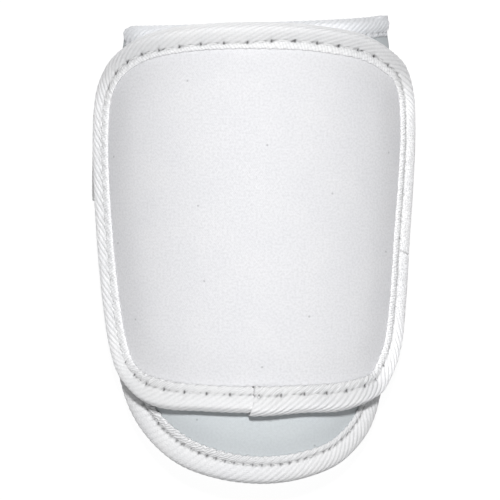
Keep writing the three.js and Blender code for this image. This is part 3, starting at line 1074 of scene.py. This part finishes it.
def hook_patch(name):
    """The square of hook tape between the two ends of the strap."""
    share = np.linspace(-0.5, 0.5, HOOK_STEPS)
    x, y = np.meshgrid(share, share, indexing="ij")
    rng = np.random.default_rng(11)
    rise = HOOK_THICKNESS / 2 + 0.00012 * rng.uniform(-1, 1, x.shape)
    rise[np.maximum(np.abs(x), np.abs(y)) > 0.46] = HOOK_THICKNESS * 0.3
    centre_x = (ELASTIC_END_X + TAB_END_X) / 2
    lean = math.atan(STRAP_SLOPE)
    across, up = x * HOOK_LENGTH, y * HOOK_WIDTH
    place_x = centre_x + across * math.cos(lean) - up * math.sin(lean)
    place_y = strap_centre_y(centre_x) + across * math.sin(lean) + up * math.cos(lean)
    middle = FLOOR + STRAP_THICKNESS + SEAT_GAP + HOOK_THICKNESS / 2
    points = [
        np.stack([place_x, place_y, height], axis=-1).reshape(-1, 3) + PLACE
        for height in (middle + rise, np.full_like(rise, middle - HOOK_THICKNESS / 2))
    ]
    uv = np.stack([across, up], axis=-1).reshape(-1, 2) * UV_SCALE
    faces = two_sided(HOOK_STEPS, HOOK_STEPS)
    return closed_mesh(name, np.vstack(points), faces, np.vstack([uv, uv]))


# Materials

def new_material(name, roughness, specular, sheen=0.0, sheen_roughness=0.5):
    material = bpy.data.materials.new(name)
    material.use_nodes = True
    tree = material.node_tree
    shader = tree.nodes["Principled BSDF"]
    shader.inputs["Roughness"].default_value = roughness
    shader.inputs["Specular IOR Level"].default_value = specular
    shader.inputs["Sheen Weight"].default_value = sheen
    shader.inputs["Sheen Roughness"].default_value = sheen_roughness
    return material, tree, shader


def link(tree, source, target):
    tree.links.new(source, target)


def coordinates(tree):
    """The place in the UV map, the place on the piece, and the two parts of the first."""
    place = tree.nodes.new("ShaderNodeTexCoord")
    split = tree.nodes.new("ShaderNodeSeparateXYZ")
    link(tree, place.outputs["UV"], split.inputs[0])
    return place.outputs["UV"], place.outputs["Object"], split.outputs["X"], split.outputs["Y"]


def math_node(tree, operation, *values):
    """A sum of numbers and sockets, such as ADD or MULTIPLY_ADD."""
    node = tree.nodes.new("ShaderNodeMath")
    node.operation = operation
    for socket, value in zip(node.inputs, values):
        if isinstance(value, (int, float)):
            socket.default_value = value
        else:
            link(tree, value, socket)
    return node.outputs[0]


def wave(tree, value, turn, lean=None):
    """The sine of a value times a turn, with the lean added where one is given."""
    turned = math_node(tree, "MULTIPLY", value, turn)
    if lean is not None:
        turned = math_node(tree, "ADD", turned, lean)
    return math_node(tree, "SINE", turned)


def noise_node(tree, place, scale, detail=2.0, roughness=0.5):
    node = tree.nodes.new("ShaderNodeTexNoise")
    node.inputs["Scale"].default_value = scale
    node.inputs["Detail"].default_value = detail
    node.inputs["Roughness"].default_value = roughness
    link(tree, place, node.inputs["Vector"])
    return node.outputs["Fac"]


def ramp_node(tree, value, low, high, dark, light=(1, 1, 1)):
    """Dark below the low value, light above the high one."""
    node = tree.nodes.new("ShaderNodeValToRGB")
    for element, at, colour in zip(node.color_ramp.elements, (low, high), (dark, light)):
        element.position = at
        element.color = (*colour, 1)
    link(tree, value, node.inputs["Fac"])
    return node.outputs["Color"]


def darker(colour, share):
    return tuple(part * share for part in colour)


def paint(tree, shader, first, *others):
    """Gives the shader the product of several colours."""
    for other in others:
        node = tree.nodes.new("ShaderNodeMix")
        node.data_type = "RGBA"
        node.blend_type = "MULTIPLY"
        node.inputs[0].default_value = 1
        link(tree, first, node.inputs[6])
        link(tree, other, node.inputs[7])
        first = node.outputs[2]
    link(tree, first, shader.inputs["Base Color"])


def emboss(tree, shader, height, strength, distance):
    """Gives the shader the fine relief that the height draws."""
    node = tree.nodes.new("ShaderNodeBump")
    node.inputs["Strength"].default_value = strength
    node.inputs["Distance"].default_value = distance
    link(tree, height, node.inputs["Height"])
    link(tree, node.outputs["Normal"], shader.inputs["Normal"])


def knit_fabric(name, colour, speck, pitch):
    """A fine close knit: rows of small stitches with a faint speckle, fuzz and lint."""
    material, tree, shader = new_material(name, roughness=0.92, specular=0.25, sheen=0.05)
    place, _, x, y = coordinates(tree)
    turn = 2 * math.pi / pitch
    lean = math_node(tree, "MULTIPLY", noise_node(tree, place, 0.35, 2), 2.2)
    columns = wave(tree, x, turn, lean)
    rows = wave(tree, y, turn * 1.25, lean)
    weave = math_node(tree, "MULTIPLY", columns, rows)
    grain = noise_node(tree, place, 1.1, 3, 0.65)
    broad = noise_node(tree, place, 0.06, 3, 0.55)
    tone = ramp_node(tree, grain, 0.34, 0.60, darker(colour, speck), colour)
    patch = ramp_node(tree, broad, 0.3, 0.7, (0.965, 0.968, 0.975))
    stitches = math_node(tree, "MULTIPLY_ADD", weave, 0.02, 0.98)
    lint = tree.nodes.new("ShaderNodeTexVoronoi")
    lint.voronoi_dimensions = "2D"
    lint.inputs["Scale"].default_value = 0.028
    link(tree, place, lint.inputs["Vector"])
    specks = ramp_node(tree, lint.outputs["Distance"], 0.008, 0.015, (0.70, 0.70, 0.70))
    paint(tree, shader, tone, patch, stitches, specks)
    height = math_node(tree, "ADD", math_node(tree, "MULTIPLY", weave, 0.5), grain)
    emboss(tree, shader, height, 0.35, 0.00012)
    return material


def ribbed_tape_material(name, colour):
    """Twill tape: yarns run along each woven rib, and the gaps between the beads of its strip get
    painted shade.
    The vertex colour holds its painted shade and light in red, beads in green and fine flecks in
    blue."""
    material, tree, shader = new_material(name, 0.85, 0.3, sheen=0.15, sheen_roughness=0.4)
    _, place, x, y = coordinates(tree)
    shade = tree.nodes.new("ShaderNodeVertexColor")
    shade.layer_name = "shade"
    marks = tree.nodes.new("ShaderNodeSeparateColor")
    link(tree, shade.outputs["Color"], marks.inputs[0])
    yarn = math_node(tree, "MULTIPLY", wave(tree, x, 6 * math.pi), 0.5)
    cross = math_node(tree, "MULTIPLY", wave(tree, y, 9.0), 0.35)
    beads = math_node(tree, "ABSOLUTE", wave(tree, x, math.pi))
    strip = tree.nodes.new("ShaderNodeMapRange")
    strip.interpolation_type = "SMOOTHSTEP"
    strip.inputs["From Min"].default_value = 0.1
    strip.inputs["From Max"].default_value = 0.7
    link(tree, y, strip.inputs["Value"])
    beaded = math_node(tree, "MULTIPLY", strip.outputs["Result"], marks.outputs["Green"])
    between = math_node(tree, "MULTIPLY", beaded, math_node(tree, "SUBTRACT", 1.0, beads))
    fuzz = noise_node(tree, place, 1500, 3, 0.6)
    crossed = noise_node(tree, place, 1700, 1, 0.5)
    broad = noise_node(tree, place, 60, 3, 0.5)
    tone = ramp_node(tree, fuzz, 0.3, 0.62, darker(colour, 0.93), colour)
    patch = ramp_node(tree, broad, 0.3, 0.7, (0.955, 0.958, 0.968))
    # Painted shade in the gaps between the strip's beads.
    gaps = math_node(tree, "SUBTRACT", 1.0, math_node(tree, "MULTIPLY", between, 0.26))
    fleck = math_node(tree, "SUBTRACT", 0.62, crossed)
    fleck = math_node(tree, "MULTIPLY", marks.outputs["Blue"], fleck)
    flecks = math_node(tree, "SUBTRACT", 1.0, math_node(tree, "MULTIPLY", fleck, 0.9))
    # The vertex colour's red multiplies in the painted shade and light.
    paint(tree, shader, tone, patch, gaps, flecks, marks.outputs["Red"])
    height = math_node(tree, "ADD", yarn, cross)
    height = math_node(tree, "ADD", height, math_node(tree, "MULTIPLY", fuzz, 0.8))
    height = math_node(tree, "SUBTRACT", height, math_node(tree, "MULTIPLY", between, 5.0))
    fine = math_node(tree, "MULTIPLY", crossed, marks.outputs["Blue"])
    height = math_node(tree, "ADD", height, math_node(tree, "MULTIPLY", fine, 8.0))
    emboss(tree, shader, height, 0.45, 0.0001)
    return material


def webbing_material(name, colour, pitch_along, pitch_across):
    """Plain woven yarns, as straps, threads and the hook patch have."""
    material, tree, shader = new_material(name, 0.85, 0.3, sheen=0.12)
    _, place, x, y = coordinates(tree)
    along = wave(tree, x, 2 * math.pi / pitch_along)
    across = wave(tree, y, 2 * math.pi / pitch_across)
    weave = math_node(tree, "MULTIPLY", along, across)
    fuzz = noise_node(tree, place, 1400, 3, 0.6)
    tone = ramp_node(tree, fuzz, 0.3, 0.62, darker(colour, 0.88), colour)
    paint(tree, shader, tone, math_node(tree, "MULTIPLY_ADD", weave, 0.05, 0.95))
    emboss(tree, shader, math_node(tree, "ADD", weave, fuzz), 0.5, 0.00012)
    return material


def table_material():
    """A pale table that is bright of itself, with shadows that stay faint."""
    material, tree, shader = new_material("table", roughness=0.9, specular=0.1)
    grain = noise_node(tree, coordinates(tree)[1], 30, 2)
    paint(tree, shader, ramp_node(tree, grain, 0.3, 0.7, (0.075,) * 3, (0.085,) * 3))
    shader.inputs["Emission Color"].default_value = (1, 1, 1, 1)
    shader.inputs["Emission Strength"].default_value = 0.95
    return material


def dress(piece, material, slot, *nodes):
    """Gives a piece its material and puts it in the place of its solids."""
    piece.data.materials.clear()
    piece.data.materials.append(material)
    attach(piece, "root")
    if nodes:
        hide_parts(*nodes)


# The studio

def add_light(name, size, power, place, aim_y):
    """A round light, aimed at a place on the middle line of the table."""
    data = bpy.data.lights.new(name, "AREA")
    data.shape = "DISK"
    data.size = size
    data.energy = power
    light = bpy.data.objects.new(name, data)
    light.location = place
    turn = (Vector((0, aim_y, 0)) - Vector(place)).to_track_quat("-Z", "Y")
    light.rotation_euler = turn.to_euler()
    light.visible_camera = False
    bpy.context.scene.collection.objects.link(light)


def build_studio():
    corners = np.array([(-1, -1, 0), (1, -1, 0), (1, 1, 0), (-1, 1, 0)], dtype=float)
    table = add_mesh("table", TABLE_HALF * corners, [(0, 1, 2, 3)])
    table.data.materials.append(table_material())
    for light in LIGHTS:
        add_light(**light)
    world = bpy.data.worlds.new("studio")
    world.use_nodes = True
    backdrop = world.node_tree.nodes["Background"]
    backdrop.inputs["Color"].default_value = WORLD_COLOUR
    backdrop.inputs["Strength"].default_value = WORLD_STRENGTH
    bpy.context.scene.world = world
    bpy.context.scene.view_settings.view_transform = "Standard"


def build_camera():
    data = bpy.data.cameras.new("camera")
    data.sensor_width = SENSOR_WIDTH
    data.lens = PHOTO_FOCUS * SENSOR_WIDTH / PHOTO_SIZE
    camera = bpy.data.objects.new("camera", data)
    camera.location = CAMERA_PLACE
    bpy.context.scene.collection.objects.link(camera)
    bpy.context.scene.camera = camera


build_camera()
build_studio()

# The pitches of the knits and weaves are in millimetres.
panel_fabric = knit_fabric("panel_fabric", (0.678, 0.678, 0.694), speck=0.88, pitch=0.75)
pad_fabric = knit_fabric("pad_fabric", (0.53, 0.56, 0.575), speck=0.92, pitch=0.85)
tape_white = ribbed_tape_material("tape_white", (0.74, 0.74, 0.745))
# A bluish copy of the tape's white: painted shade for the pad's top tape, which lies in the panel's
# shadow.
pad_tape_painted_shade = ribbed_tape_material("pad_tape_painted_shade", (0.755, 0.765, 0.785))
thread_white = webbing_material("thread_white", (0.72, 0.72, 0.72), 0.5, 0.5)
elastic_white = webbing_material("elastic_white", (0.82, 0.82, 0.82), 1.3, 0.95)
tab_white = webbing_material("tab_white", (0.78, 0.78, 0.78), 1.6, 1.2)
hook_white = webbing_material("hook_white", (0.58, 0.58, 0.58), 0.9, 0.9)

panel_cover = build_panel_cover()
dress(panel_cover, panel_fabric, "panel_fabric", "outer_panel")

pad_cover = build_pad_cover()
dress(pad_cover, pad_fabric, "pad_fabric", "inner_pad")

for built, tape_material, node in (
    (build_panel_tape(), tape_white, "outer_binding"),
    (build_tongue_tape(), tape_white, "pad_tongue_binding"),
    (build_top_tape(), pad_tape_painted_shade, "pad_top_binding"),
):
    tape, sewn, length = built
    dress(tape, tape_material, "binding_tape", node)
    dress(sewn, thread_white, "binding_tape")

elastic = build_elastic()
dress(elastic, elastic_white, "strap_webbing", "strap_elastic")
tab = build_tab()
dress(tab, tab_white, "strap_webbing", "strap_tab")
hook = hook_patch("strap_hook_square")
dress(hook, hook_white, "hook_loop", "strap_hook")
